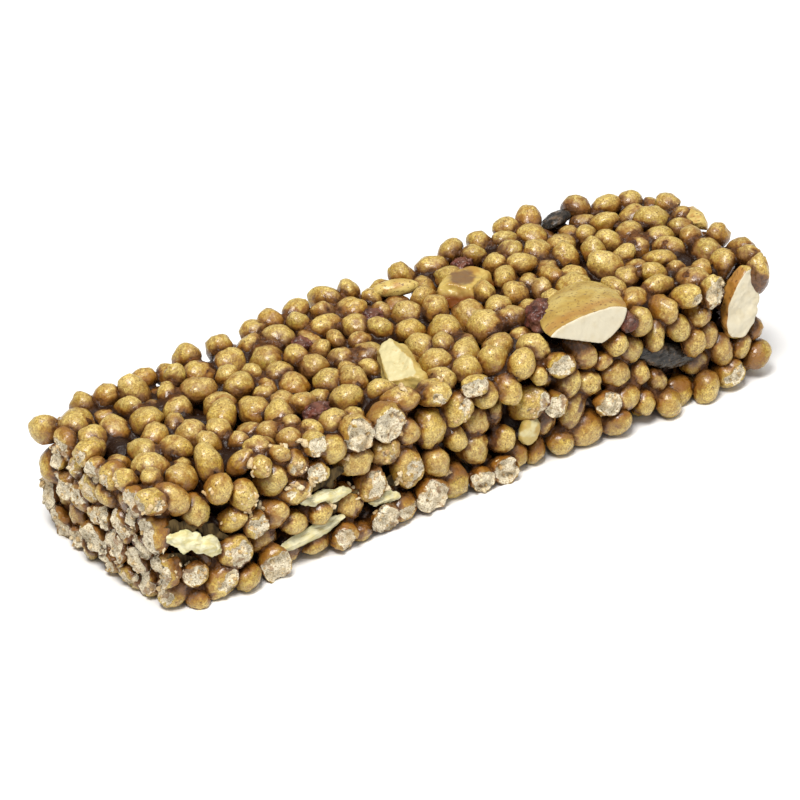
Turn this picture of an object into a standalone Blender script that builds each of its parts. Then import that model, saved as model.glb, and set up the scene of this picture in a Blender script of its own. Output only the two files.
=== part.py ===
"""A snack bar of crisped grain balls with nuts, seeds and dried fruit, bound in syrup.

The bar lies flat on its underside.  The driving values below are millimetres and the
meshes are metres; +X runs along the bar, -Y is its front side, +Z is up, and the origin
is on the ground under the middle of the bar.
"""

import math
from collections import namedtuple

import bmesh
import bpy
import numpy as np
from mathutils import Euler, Matrix, Vector

MM = 0.001

# The bar: a block cut from a pressed sheet, its ends askew and its top and back uneven.
# Every place below is measured from the middle of the block's foot.
LENGTH, WIDTH, HEIGHT = 110.4, 34.4, 20.9
MIDDLE = (0.85, 0.15)                  # the finished bar's middle
NEAR_SLANT, FAR_SLANT = 0.0, 1.2     # each end's foot lies this much further in than its head
NEAR_SKEW, FAR_SKEW = 0.06, 0.08     # how far each end swings towards +X, per step towards the back
NEAR_CORNER = (-20, 24, 4.2)         # y, reach, height: the near end slants more at its front corner
TOP_WAVES = ((0.25, 13.0, 9.0), (0.2, 5.7, 7.0))   # height, then wavelength over 2 pi along X and Y
TOP_HUMPS = ((26, 15, 26, 1.5), (54, 6, 18, 1.1), (-20, 16, 18, 1.0))    # x, y, reach, height
FAR_HUMP = (-3, 20, 2.2)                           # y, reach, height
BACK_HUMPS = ((30, 28, 1.6), (-17, 16, 0.9), (-56, 12, -0.6))            # x, reach, height
FRONT_HUMPS = ((-34, 28, 1.2),)

# The crisps.
CRISP_RADIUS, CRISP_SPREAD = 2.34, 0.7
CRISP_FILL = 0.71      # share of the block that the crisps fill, pressed a little into each other
CRISP_STRETCH = 0.32   # how much longer than its mean radius a crisp's longest half axis may be
TOP_DROP = 2.2         # how far below the top the middles of its crisps may be set back
SETTLE_TURNS = 260
SEED = 11

# Crisps that stick out of the bar's rim, each fixed in its place: x, y, z, radius.
PROUD = (
    (-53.9, 14.2, 17.2, 2.3), (-47.2, 15.0, 18.4, 2.1), (-43.4, 14.8, 18.3, 2.1), (-28.4, 16.2, 19.2, 2.2),
    (-23.0, 15.7, 18.9, 2.2), (-16.6, 16.3, 19.1, 2.1), (-13.2, 16.8, 19.6, 2.0), (-8.8, 16.9, 19.7, 2.1),
    (-3.2, 17.1, 19.7, 2.2), (0.8, 16.8, 19.6, 2.1), (15.4, 15.9, 18.9, 2.5), (20.0, 17.2, 19.8, 2.2),
    (25.3, 16.8, 19.7, 2.2), (30.6, 17.2, 20.1, 2.3), (34.8, 17.4, 20.4, 2.2), (43.6, 16.8, 19.9, 2.3),
    (48.4, 15.4, 19.0, 2.2), (55.2, 4.8, 18.8, 2.1), (55.6, -3.6, 18.8, 2.2), (55.4, -9.5, 18.6, 2.5),
    (53.4, -15.0, 3.8, 2.4), (43.0, -16.2, 2.2, 2.3), (35.4, -16.4, 2.3, 2.4), (25.6, -16.1, 2.3, 2.4),
    (-40.8, -17.4, 2.0, 2.2), (-48.6, -16.4, 1.2, 1.9),
)

# What keeps the crisps away: x, y, z, radius.  First bare pits, then bays in the back's upper edge.
PITS = (
    (-45.0, -16.9, 12.3, 1.7), (-39.7, -16.6, 18.0, 1.5), (-25.0, -16.9, 12.9, 1.5), (-8.4, -16.6, 16.6, 2.0),
    (-3.6, -16.4, 17.8, 1.6), (6.4, -16.6, 10.9, 1.6), (5.6, -16.4, 17.6, 1.6), (29.6, -16.2, 0.2, 2.0),
)
BAYS = ((-48.0, 16.6, 18.6, 2.4), (-41.5, 17.4, 19.4, 1.8), (-5.0, 17.6, 20.0, 2.0), (38.0, 18.4, 20.6, 1.6))

# How the knife leaves each side: the chance that it slices a crisp there, how deep the middles
# of sliced and of whole crisps lie inside the cut, as shares of their radius, and its wobble.
SLICE_CHANCE = {"near": 0.88, "far": 0.6, "front": 0.62, "back": 0.4}
FRONT_FADE = (0.0, 24.0)      # between these the front's chance falls to its share beyond them
FRONT_FADED_CHANCE = 0.14
SLICED_SHARE, WHOLE_SHARE = (0.1, 0.9), (0.6, 1.3)
SLICED_WITHIN = 0.93
SLICE_TILT = 0.2              # as a slope

# The heap's solid: a plain heart with the outer crisps fused on.
HEART_SIDE_INSET, HEART_TOP_INSET = 2.1, 2.2
HEART_STATIONS = 24
HEART_CORNER = 1.2
SHELL_DEPTH = 3.2             # a crisp whose middle lies deeper than this is left out
FACET_SWELL = 1.12            # a 20-sided ball this much larger looks as large as a round one
FOOT = (50.0, 13.5)           # half the sides of the flat face that the bar rests on
FOOT_STEP = 0.15              # how far the heart's underside lies above that face
PRESSED_FOOT = 0.2            # how far the crisps' flat undersides do
HEAP_TRIANGLES = 8800         # before the pockets are cut
CLEARANCE = 0.3               # between the heap and each piece set in it


def hump(distance_squared, reach, height):
    """A smooth rise that ends at its reach."""
    return height * np.maximum(1 - distance_squared / reach ** 2, 0) ** 2


def top_height(x, y):
    """The pressed top's height."""
    rise = sum(height * np.sin(x / a + y / b) for height, a, b in TOP_WAVES)
    rise = rise + sum(hump((x - u) ** 2 + (y - v) ** 2, reach, height) for u, v, reach, height in TOP_HUMPS)
    return HEIGHT + np.round(rise, 3)


def depths(place):
    """How deep each place lies inside each of the four cut sides."""
    x, y, z = place.T
    foot = 1 - z / HEIGHT
    corner, bulge = (hump((y - v) ** 2, reach, height) for v, reach, height in (NEAR_CORNER, FAR_HUMP))
    back, front = (
        WIDTH / 2 + sum(hump((x - u) ** 2, reach, height) for u, reach, height in humps)
        for humps in (BACK_HUMPS, FRONT_HUMPS))
    near = -LENGTH / 2 + NEAR_SKEW * y + (NEAR_SLANT + corner) * foot
    far = LENGTH / 2 + FAR_SKEW * y + bulge - FAR_SLANT * foot
    return {"near": x - near, "far": far - x, "front": y + front, "back": back - y}


OUTWARD = {
    "near": Vector((-1, 0, 0)), "far": Vector((1, 0, 0)),
    "front": Vector((0, -1, 0)), "back": Vector((0, 1, 0)),
}


def close_pairs(place, reach):
    """Index pairs of balls whose reaches meet."""
    firsts, seconds = [], []
    for start in range(0, len(place), 200):
        block = place[start:start + 200]
        x, y, z = (block[:, None, k] - place[None, :, k] for k in range(3))
        touch = x * x + y * y + z * z < (reach[start:start + 200, None] + reach[None]) ** 2
        i, j = np.nonzero(touch)
        later = j > i + start
        firsts.append(i[later] + start)
        seconds.append(j[later])
    return np.concatenate(firsts), np.concatenate(seconds)


def pack_crisps(rng, blockers):
    """Balls shaken together inside the bar, clear of the blockers.

    Returns their middles and radii, and for each cut side which of them the knife slices.
    The proud ones come last and stay whole.
    """
    count = int(LENGTH * WIDTH * HEIGHT * CRISP_FILL / (4 / 3 * math.pi * CRISP_RADIUS ** 3))
    radius = CRISP_RADIUS + CRISP_SPREAD * (rng.random((count, 3)) - 0.5).sum(1)
    place = (rng.random((count, 3)) * 2 - 1) * (LENGTH / 2, WIDTH / 2, HEIGHT / 2) + (0, 0, HEIGHT / 2)
    sliced, limit = {}, {}
    for side, chance in SLICE_CHANCE.items():
        chances = np.full(count, chance)
        if side == "front":
            chances = np.interp(place[:, 0], FRONT_FADE, (chance, FRONT_FADED_CHANCE))
        sliced[side] = rng.random(count) < chances
        low, high = (np.where(sliced[side], a, b) for a, b in zip(SLICED_SHARE, WHOLE_SHARE))
        limit[side] = radius * (low + (high - low) * rng.random(count))
    chance = rng.random(count)
    ceiling = radius + TOP_DROP * chance * chance

    proud, fixed = np.array(PROUD), np.array(blockers)
    place = np.vstack([place, proud[:, :3], fixed[:, :3]])
    reach = np.concatenate([radius, proud[:, 3], fixed[:, 3]])
    loose = slice(count)
    for turn in range(SETTLE_TURNS):
        if turn % 6 == 0:
            i, j = close_pairs(place, reach + 0.5)
            top = top_height(place[loose, 0], place[loose, 1]) - ceiling
        x, y, z = (place[i, k] - place[j, k] for k in range(3))
        apart = np.sqrt(x * x + y * y + z * z) + 1e-9
        push = 0.45 * np.maximum(reach[i] + reach[j] - apart, 0) / apart
        for k, gap in enumerate((x, y, z)):
            move = np.bincount(i, gap * push, len(place)) - np.bincount(j, gap * push, len(place))
            place[loose, k] += move[loose]
        place[loose, 2] = np.clip(place[loose, 2], radius, top)
        for side, depth in depths(place[loose]).items():
            axis = 1 if side in ("front", "back") else 0
            place[loose, axis] -= OUTWARD[side][axis] * np.maximum(limit[side] - depth, 0)
    crisps = slice(count + len(proud))
    whole = np.zeros(len(proud), bool)
    return place[crisps], reach[crisps], {side: np.append(cut, whole) for side, cut in sliced.items()}


def shape_axes(rng, radius):
    """Each crisp's three half axes as the columns of a matrix: an oval ball turned at random."""
    count = len(radius)
    spin = rng.normal(size=(count, 4))
    w, x, y, z = (spin / np.sqrt((spin ** 2).sum(1))[:, None]).T
    turn = np.stack([
        np.stack([1 - 2 * (y * y + z * z), 2 * (x * y - z * w), 2 * (x * z + y * w)], -1),
        np.stack([2 * (x * y + z * w), 1 - 2 * (x * x + z * z), 2 * (y * z - x * w)], -1),
        np.stack([2 * (x * z - y * w), 2 * (y * z + x * w), 1 - 2 * (x * x + y * y)], -1)], 1)
    stretch = 1 + CRISP_STRETCH * rng.random(count)
    squeeze = 1 - 0.5 * CRISP_STRETCH * rng.random(count)
    half = np.stack([radius * stretch, radius * squeeze, radius / (stretch * squeeze)], -1)
    return turn * half[:, None, :]


def knife_cuts(rng, place, radius, sliced):
    """The cut planes (point, outward normal) of each crisp."""
    cuts = [[] for _ in place]
    for side, depth in depths(place).items():
        tilt = SLICE_TILT * (rng.random((len(place), 3)) - 0.5)
        for k in np.nonzero(sliced[side] & (depth < SLICED_WITHIN * radius))[0]:
            out = OUTWARD[side]
            cuts[k].append((Vector(place[k]) + out * depth[k], (out + Vector(tilt[k])).normalized()))
    return cuts


def slice_off(bm, point, normal):
    """Cut away what lies beyond a plane and close the cut."""
    geometry = bm.verts[:] + bm.edges[:] + bm.faces[:]
    bmesh.ops.bisect_plane(bm, geom=geometry, plane_co=point, plane_no=normal, clear_outer=True)
    bmesh.ops.holes_fill(bm, edges=[edge for edge in bm.edges if edge.is_boundary], sides=0)


def ball(point=0.0, segments=10, rings=6):
    """An oval ball, drawn to a blunt point at its +X end."""
    def make(half):
        bm = bmesh.new()
        bmesh.ops.create_uvsphere(bm, u_segments=segments, v_segments=rings, radius=1)
        for vert in bm.verts:
            x, y, z = vert.co
            slim = 1 - point * max(x, 0) ** 2
            vert.co = (x * half[0], y * half[1] * slim, z * half[2] * slim)
        return bm
    return make


def lump(roughness, seed):
    """A broken or dried lump: a boxy ball whose corners lie at uneven distances."""
    def make(half):
        rng = np.random.default_rng(seed)
        bm = bmesh.new()
        bmesh.ops.create_icosphere(bm, subdivisions=2, radius=1)
        for vert in bm.verts:
            square = sum(abs(c) ** 4 for c in vert.co) ** -0.25
            reach = 0.5 * (1 + square) * (1 + roughness * (rng.random() - 0.5))
            vert.co = Vector(c * h * reach for c, h in zip(vert.co, half))
        return bm
    return make


def flake(teeth, seed, bend=0.0, steps=9):
    """A torn, flat piece of seed with an uneven outline, bent along its length."""
    def make(half):
        rng = np.random.default_rng(seed)
        bm = bmesh.new()
        rows = []
        for step in range(steps + 1):
            along = 2 * step / steps - 1
            width = half[1] * (1 - 0.75 * abs(along) ** 3)
            front = -width * (1 - teeth * rng.random())
            back = width * (1 - teeth * rng.random())
            rise = bend * (1 - along * along)
            thick = half[2] * (1 - 0.5 * along * along)
            rim = ((front, 0), (0.5 * (front + back), thick), (back, 0), (0.5 * (front + back), -thick))
            rows.append([bm.verts.new((along * half[0], y, rise + z)) for y, z in rim])
        for row, after in zip(rows, rows[1:]):
            for k in range(4):
                bm.faces.new((row[k], after[k], after[k - 3], row[k - 3]))
        bm.faces.new(rows[0])
        bm.faces.new(rows[-1])
        bmesh.ops.recalc_face_normals(bm, faces=bm.faces)
        return bm
    return make


def almond_half(half):
    """Half a kernel on its round side: its flat side up and a little domed, its front cut off."""
    a, b, c = half
    bm = ball(0.2, 16, 8)((1.1 * a, 1.08 * b, 1))
    for vert in bm.verts:
        high = vert.co.z
        vert.co.z = c * (0.85 + (0.55 * high * high * (2 - high * high) if high > 0 else 1.85 * high))
    turn = Matrix.Rotation(math.radians(-ALMOND_TURN), 3, "Z")
    forward = turn @ Vector((0, -1, 0.08))
    slice_off(bm, 0.55 * b * forward, forward)
    slice_off(bm, turn @ Vector((-0.2 * a, 0, -0.3 * c)), turn @ Vector((-0.45, 0, -1)))
    slice_off(bm, (0, 0, -0.95 * c), (0, 0, -1))
    return bm


def almond_end(half):
    """A thick slice of kernel, slimmer at its head, its cut to the front."""
    bm = lump(0.14, 3)(half)
    for vert in bm.verts:
        vert.co.x *= 1 - 0.35 * max(vert.co.z / half[2], 0)
    slice_off(bm, (0, -0.35 * half[1], 0), (-0.1, -1, 0.05))
    return bm


def nut_chunk(half):
    """A broken piece of kernel: facets on its head, and a notch in its right side."""
    a, b, c = half
    bm = lump(0.12, 5)(half)
    slice_off(bm, (-0.1 * a, 0, 0.62 * c), (-0.22, 0.05, 1))
    slice_off(bm, (0.35 * a, 0.35 * b, 0.62 * c), (0.6, 0.3, 1))
    slice_off(bm, (0, -0.72 * b, 0.3 * c), (-0.35, -1, 0.5))
    slice_off(bm, (-0.78 * a, 0, 0), (-1, 0.1, 0.1))
    slice_off(bm, (0.82 * a, 0, 0), (1, 0.1, 0.2))
    for vert in bm.verts:
        x, y, z = vert.co
        if x > 0:
            vert.co.x -= 0.3 * a * math.exp(-((y / b + 0.25) / 0.3) ** 2) * x / a
    return bm


def glazed_wedge(half):
    """A wedge of kernel with a flat, sloping head."""
    bm = lump(0.1, 8)(half)
    slice_off(bm, (0, -0.2 * half[1], 0.66 * half[2]), (0, -0.12, 1))
    slice_off(bm, (-0.7 * half[0], 0, 0), (-1, -0.4, 0.5))
    slice_off(bm, (0, -0.72 * half[1], 0), (0.1, -1, 0.5))
    return bm


# Each set-in piece: its shape, half axes, middle, turn about X, Y and Z in degrees, and material.
Piece = namedtuple("Piece", "shape half middle turn material")
ALMOND_TURN = 50
PIECES = {
    "almond_half": Piece(
        almond_half, (9.5, 6.0, 2.45), (22.6, -13.5, 18.8), (0, 0, ALMOND_TURN), "almond_skin"),
    "almond_end": Piece(almond_end, (2.9, 2.8, 5.9), (50.3, -15.8, 14.0), (0, 17, 0), "almond_flesh"),
    "nut_chunk": Piece(nut_chunk, (3.6, 6.0, 2.7), (-6.2, -7.6, 19.0), (14, 0, -17), "nut_flesh"),
    "almond_glazed": Piece(glazed_wedge, (5.1, 3.8, 2.5), (15.6, 7.0, 19.3), (0, 0, 22), "caramel"),
    "nut_sliver": Piece(ball(0.1), (3.7, 1.6, 1.3), (7.2, 13.6, 19.6), (0, 0, -24), "almond_skin"),
    "nut_far": Piece(lump(0.3, 21), (3.2, 1.6, 1.4), (56.2, 3.0, 19.2), (0, 0, 75), "nut_flesh"),
    "nut_front": Piece(lump(0.3, 22), (1.9, 1.1, 2.4), (10.0, -16.2, 6.6), (0, 15, 0), "almond_flesh"),
    "seed_front": Piece(ball(0.35), (6.2, 2.0, 1.1), (36.8, -14.6, 9.2), (78, 24, 0), "seed_hull"),
    "seed_back": Piece(ball(0.35), (3.4, 2.2, 1.0), (39.2, 16.0, 19.8), (-20, 0, 30), "seed_hull"),
    "shard_near": Piece(flake(0.5, 31, 0.6), (5.3, 2.0, 0.9), (-48.4, -16.8, 10.2), (80, 31, 0), "kernel"),
    "shard_middle": Piece(flake(0.45, 32, 0.4), (4.2, 1.6, 0.9), (-26.7, -17.1, 9.8), (85, 7, 0), "kernel"),
    "shard_long": Piece(flake(0.15, 33), (5.9, 1.3, 0.9), (-29.5, -17.1, 4.6), (85, -7, 0), "kernel"),
    "shard_foot": Piece(flake(0.4, 34), (2.6, 1.4, 0.8), (-16.5, -16.9, 5.4), (85, 10, 0), "kernel"),
    "fruit_1": Piece(lump(0.3, 41), (3.4, 1.9, 1.9), (17.9, -8.6, 20.1), (0, 0, 50), "fruit"),
    "fruit_2": Piece(lump(0.3, 42), (1.2, 1.1, 1.5), (28.9, -16.2, 18.2), (0, 0, 0), "fruit"),
    "fruit_3": Piece(lump(0.3, 43), (1.8, 1.4, 1.3), (18.8, 12.6, 19.8), (0, 0, 0), "fruit"),
    "fruit_4": Piece(lump(0.3, 44), (1.6, 1.9, 1.5), (-0.6, 8.4, 19.0), (0, 0, 0), "fruit"),
    "fruit_5": Piece(lump(0.3, 45), (1.6, 1.5, 1.4), (-13.6, 8.0, 19.0), (0, 0, 0), "fruit"),
    "fruit_6": Piece(lump(0.3, 46), (2.4, 1.6, 1.4), (-22.2, -9.4, 18.6), (0, 0, 20), "fruit"),
}

# A dried fruit bit that is pressed against a bigger piece, and so takes that one's shape there.
PRESSED_AGAINST = {"fruit_1": "almond_half", "fruit_2": "almond_half", "fruit_3": "almond_glazed"}

# Base colour, roughness.
MATERIALS = {
    "crisp": ((0.46, 0.28, 0.09), 0.42), "almond_skin": ((0.72, 0.47, 0.14), 0.3),
    "almond_flesh": ((0.86, 0.78, 0.60), 0.5), "nut_flesh": ((0.87, 0.73, 0.34), 0.45),
    "caramel": ((0.34, 0.17, 0.05), 0.25), "seed_hull": ((0.035, 0.03, 0.022), 0.4),
    "kernel": ((0.84, 0.78, 0.45), 0.5), "fruit": ((0.2, 0.045, 0.03), 0.35),
}


def placing(piece):
    """A set-in piece's matrix from its own millimetres to the block's."""
    turn = Euler([math.radians(angle) for angle in piece.turn])
    return Matrix.Translation(piece.middle) @ turn.to_matrix().to_4x4()


def blockers_of(piece):
    """Balls that fill a set-in piece, to keep the crisps out of it: x, y, z, radius."""
    a, b, c = (0.94 * half for half in piece.half)
    radius = max(c, 0.9)
    step = 1.5 * radius
    balls = []
    for i in range(-math.ceil(a / step), math.ceil(a / step) + 1):
        for j in range(-math.ceil(b / step), math.ceil(b / step) + 1):
            if (i * step / a) ** 2 + (j * step / b) ** 2 < 0.8:
                middle = placing(piece) @ Vector((i * step, j * step, 0))
                balls.append((*(round(c, 2) for c in middle), round(radius, 2)))
    return balls


def new_material(name):
    colour, roughness = MATERIALS[name]
    material = bpy.data.materials.new(name)
    material.use_nodes = True
    shader = material.node_tree.nodes["Principled BSDF"]
    shader.inputs["Base Color"].default_value = (*colour, 1)
    shader.inputs["Roughness"].default_value = roughness
    return material


def new_object(name, bm, material):
    """One object from a mesh in the block's millimetres."""
    mesh = bpy.data.meshes.new(name)
    bm.transform(Matrix.Scale(MM, 4) @ Matrix.Translation((-MIDDLE[0], -MIDDLE[1], 0)))
    bm.to_mesh(mesh)
    bm.free()
    mesh.materials.append(material)
    obj = bpy.data.objects.new(name, mesh)
    bpy.context.scene.collection.objects.link(obj)
    return obj


def set_in_piece(name, materials, grow=0.0):
    """One of the named pieces, or with a clearance the pocket that it lies in."""
    piece = PIECES[name]
    bm = piece.shape(piece.half)
    bm.normal_update()
    for vert in bm.verts:
        vert.co += vert.normal * grow * vert.calc_shell_factor()
    bm.transform(placing(piece))
    return new_object("pocket" if grow else name, bm, materials[piece.material])


def crisp(place, axes, cuts):
    """One crisp with few sides, cut by the knife and pressed flat at the foot."""
    bm = bmesh.new()
    bmesh.ops.create_icosphere(bm, subdivisions=1, radius=FACET_SWELL)
    bm.transform(Matrix.Translation(place) @ Matrix(axes.tolist()).to_4x4())
    for point, normal in cuts:
        slice_off(bm, point, normal)
    if min(vert.co.z for vert in bm.verts) < PRESSED_FOOT:
        slice_off(bm, (0, 0, PRESSED_FOOT), (0, 0, -1))
    return bm


def heart():
    """The plain heart: a block inside the bar, with cut corners along its edges."""
    bm = bmesh.new()
    rings = []
    for station in range(HEART_STATIONS + 1):
        ring = []
        x = (station / HEART_STATIONS - 0.5) * LENGTH
        for side, head in ((-1, False), (-1, True), (1, True), (1, False)):
            reach = depths(np.array([[x, 0, 0]]))["back" if side > 0 else "front"][0] - HEART_SIDE_INSET
            y = side * reach
            z = top_height(x, y) - HEART_TOP_INSET if head else FOOT_STEP
            ends = depths(np.array([[0, y, z]]))
            start, end = HEART_SIDE_INSET - ends["near"][0], ends["far"][0] - HEART_SIDE_INSET
            corner = Vector((start + (end - start) * station / HEART_STATIONS, y, z))
            along, across = Vector((0, -side, 0)), Vector((0, 0, -1 if head else 1))
            first, second = (across, along) if (side < 0) == head else (along, across)
            ring += [bm.verts.new(corner + step * HEART_CORNER) for step in (first, second)]
        rings.append(ring)
    for ring, after in zip(rings, rings[1:]):
        for k in range(len(ring)):
            bm.faces.new((ring[k], after[k], after[k - 7], ring[k - 7]))
    bm.faces.new(rings[0])
    bm.faces.new(rings[-1])
    bmesh.ops.recalc_face_normals(bm, faces=bm.faces)
    return bm


def foot():
    """The flat face that the bar rests on, as a thin plate that reaches up into the heart."""
    bm = bmesh.new()
    bmesh.ops.create_cube(bm, size=2)
    x, y = FOOT
    bm.transform(Matrix.Diagonal((x, y, 2 * FOOT_STEP, 1)) @ Matrix.Translation((0, 0, 1)))
    return bm


def apply_modifiers(obj):
    """Keep the mesh that an object's modifiers make."""
    bpy.context.view_layer.update()
    mesh = bpy.data.meshes.new_from_object(obj.evaluated_get(bpy.context.evaluated_depsgraph_get()))
    obj.modifiers.clear()
    obj.data = mesh


def apply_boolean(obj, operation, tools):
    """Join or cut an object with all of a list's, which are then removed."""
    group = bpy.data.collections.new(operation)
    bpy.context.scene.collection.children.link(group)
    for tool in tools:
        bpy.context.scene.collection.objects.unlink(tool)
        group.objects.link(tool)
    boolean = obj.modifiers.new(operation, "BOOLEAN")
    boolean.operation = operation
    boolean.operand_type = "COLLECTION"
    boolean.collection = group
    boolean.solver = "MANIFOLD"
    apply_modifiers(obj)
    for tool in tools:
        bpy.data.objects.remove(tool)
    bpy.data.collections.remove(group)


def thin_out(obj, triangles):
    """Merge the smallest faces above the heart's underside until about this many are left."""
    obj.data.calc_loop_triangles()
    level = 1.001 * FOOT_STEP * MM
    above = obj.vertex_groups.new(name="above")
    above.add([vert.index for vert in obj.data.vertices if vert.co.z > level], 1.0, "REPLACE")
    decimate = obj.modifiers.new("thin out", "DECIMATE")
    decimate.ratio = min(1.0, triangles / len(obj.data.loop_triangles))
    decimate.vertex_group = above.name
    apply_modifiers(obj)


def keep_outer_skin(obj):
    """Drop loose scraps and fill sealed hollows: only the largest shell of faces stays."""
    bm = bmesh.new()
    bm.from_mesh(obj.data)
    left = set(bm.faces)
    shells = []
    while left:
        shell, rim = [], [left.pop()]
        while rim:
            face = rim.pop()
            shell.append(face)
            beside = {other for edge in face.edges for other in edge.link_faces} & left
            left -= beside
            rim += beside
        shells.append(shell)
    shells.sort(key=len)
    for shell in shells[:-1]:
        bmesh.ops.delete(bm, geom=shell, context="FACES")
    bmesh.ops.delete(bm, geom=[vert for vert in bm.verts if not vert.link_faces], context="VERTS")
    bmesh.ops.triangulate(bm, faces=bm.faces)
    for vert in bm.verts:
        vert.co.z = max(vert.co.z, 0)
    bm.to_mesh(obj.data)
    bm.free()


def build():
    for obj in list(bpy.data.objects):
        bpy.data.objects.remove(obj)
    materials = {name: new_material(name) for name in MATERIALS}

    rng = np.random.default_rng(SEED)
    blockers = [ball for piece in PIECES.values() for ball in blockers_of(piece)]
    place, radius, sliced = pack_crisps(rng, [*PITS, *BAYS, *blockers])
    axes = shape_axes(rng, radius)
    cuts = knife_cuts(rng, place, radius, sliced)

    x, y, z = place.T
    depth = np.minimum.reduce([*depths(place).values(), top_height(x, y) - z])
    crisps = [
        new_object("crisp", crisp(place[k], axes[k], cuts[k]), materials["crisp"])
        for k in np.nonzero(depth < SHELL_DEPTH)[0]]
    heap = new_object("crisp_mass", heart(), materials["crisp"])
    apply_boolean(heap, "UNION", crisps)
    keep_outer_skin(heap)
    thin_out(heap, HEAP_TRIANGLES)
    for vert in heap.data.vertices:
        vert.co.z = max(vert.co.z, FOOT_STEP * MM)
    apply_boolean(heap, "UNION", [new_object("foot", foot(), materials["crisp"])])

    pieces = {name: set_in_piece(name, materials) for name in PIECES}
    for name, other in PRESSED_AGAINST.items():
        apply_boolean(pieces[name], "DIFFERENCE", [set_in_piece(other, materials, CLEARANCE)])
    apply_boolean(heap, "DIFFERENCE", [set_in_piece(name, materials, CLEARANCE) for name in PIECES])
    keep_outer_skin(heap)


build()
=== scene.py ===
"""Dresses the snack bar: rounded, sliced and syrupy crisps, nuts, seeds and dried fruit."""

import math
from collections import namedtuple

import bmesh
import bpy
import numpy as np
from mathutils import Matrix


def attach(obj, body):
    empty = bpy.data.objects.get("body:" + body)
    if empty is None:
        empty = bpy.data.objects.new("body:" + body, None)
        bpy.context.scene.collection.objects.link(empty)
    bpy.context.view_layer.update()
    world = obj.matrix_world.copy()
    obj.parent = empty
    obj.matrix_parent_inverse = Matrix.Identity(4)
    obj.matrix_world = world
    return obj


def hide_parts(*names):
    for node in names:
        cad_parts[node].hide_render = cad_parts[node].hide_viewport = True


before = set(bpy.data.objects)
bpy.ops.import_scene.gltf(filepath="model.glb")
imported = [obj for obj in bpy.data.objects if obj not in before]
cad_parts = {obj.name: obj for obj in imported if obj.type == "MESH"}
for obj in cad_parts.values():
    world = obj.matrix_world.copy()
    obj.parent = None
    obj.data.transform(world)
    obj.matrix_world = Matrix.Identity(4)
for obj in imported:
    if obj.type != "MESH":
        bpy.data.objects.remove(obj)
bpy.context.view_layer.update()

import openvdb
from mathutils import Euler, Matrix, Vector

MM = 0.001

# The bar's driving values and its packing, as the part has them: millimetres, measured from the
# middle of the block's foot.
LENGTH, WIDTH, HEIGHT = 110.4, 34.4, 20.9
MIDDLE = (0.85, 0.15)
NEAR_SLANT, FAR_SLANT = 0.0, 1.2
NEAR_SKEW, FAR_SKEW = 0.06, 0.08
NEAR_CORNER = (-20, 24, 4.2)
TOP_WAVES = ((0.25, 13.0, 9.0), (0.2, 5.7, 7.0))
TOP_HUMPS = ((26, 15, 26, 1.5), (54, 6, 18, 1.1), (-20, 16, 18, 1.0))
FAR_HUMP = (-3, 20, 2.2)
BACK_HUMPS = ((30, 28, 1.6), (-17, 16, 0.9), (-56, 12, -0.6))
FRONT_HUMPS = ((-34, 28, 1.2),)

CRISP_RADIUS, CRISP_SPREAD = 2.34, 0.7
CRISP_FILL = 0.71
CRISP_STRETCH = 0.32
TOP_DROP = 2.2
SETTLE_TURNS = 260
SEED = 11

# Crisps at marked places along the outline: x, y, z and radius.
PROUD = (
    (-53.9, 14.2, 17.2, 2.3), (-47.2, 15.0, 18.4, 2.1), (-43.4, 14.8, 18.3, 2.1), (-28.4, 16.2, 19.2, 2.2),
    (-23.0, 15.7, 18.9, 2.2), (-16.6, 16.3, 19.1, 2.1), (-13.2, 16.8, 19.6, 2.0), (-8.8, 16.9, 19.7, 2.1),
    (-3.2, 17.1, 19.7, 2.2), (0.8, 16.8, 19.6, 2.1), (15.4, 15.9, 18.9, 2.5), (20.0, 17.2, 19.8, 2.2),
    (25.3, 16.8, 19.7, 2.2), (30.6, 17.2, 20.1, 2.3), (34.8, 17.4, 20.4, 2.2), (43.6, 16.8, 19.9, 2.3),
    (48.4, 15.4, 19.0, 2.2), (55.2, 4.8, 18.8, 2.1), (55.6, -3.6, 18.8, 2.2), (55.4, -9.5, 18.6, 2.5),
    (53.4, -15.0, 3.8, 2.4), (43.0, -16.2, 2.2, 2.3), (35.4, -16.4, 2.3, 2.4), (25.6, -16.1, 2.3, 2.4),
    (-40.8, -17.4, 2.0, 2.2), (-48.6, -16.4, 1.2, 1.9),
)
# Balls that keep the crisps out of the front's dark gaps, and out of the back edge's notches.
PITS = (
    (-45.0, -16.9, 12.3, 1.7), (-39.7, -16.6, 18.0, 1.5), (-25.0, -16.9, 12.9, 1.5),
    (-8.4, -16.6, 16.6, 2.0), (-3.6, -16.4, 17.8, 1.6), (6.4, -16.6, 10.9, 1.6), (5.6, -16.4, 17.6, 1.6),
    (29.6, -16.2, 0.2, 2.0),
)
BAYS = ((-48.0, 16.6, 18.6, 2.4), (-41.5, 17.4, 19.4, 1.8), (-5.0, 17.6, 20.0, 2.0), (38.0, 18.4, 20.6, 1.6))

SLICE_CHANCE = {"near": 0.88, "far": 0.6, "front": 0.62, "back": 0.4}
FRONT_FADE = (0.0, 24.0)
FRONT_FADED_CHANCE = 0.14
SLICED_SHARE, WHOLE_SHARE = (0.1, 0.9), (0.6, 1.3)
SLICED_WITHIN = 0.93
SLICE_TILT = 0.2


def hump(distance_squared, reach, height):
    """A smooth rise that ends at its reach."""
    return height * np.maximum(1 - distance_squared / reach ** 2, 0) ** 2


def top_height(x, y):
    """The pressed top's height."""
    rise = sum(height * np.sin(x / a + y / b) for height, a, b in TOP_WAVES)
    rise = rise + sum(hump((x - u) ** 2 + (y - v) ** 2, reach, height) for u, v, reach, height in TOP_HUMPS)
    return HEIGHT + np.round(rise, 3)


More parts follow.
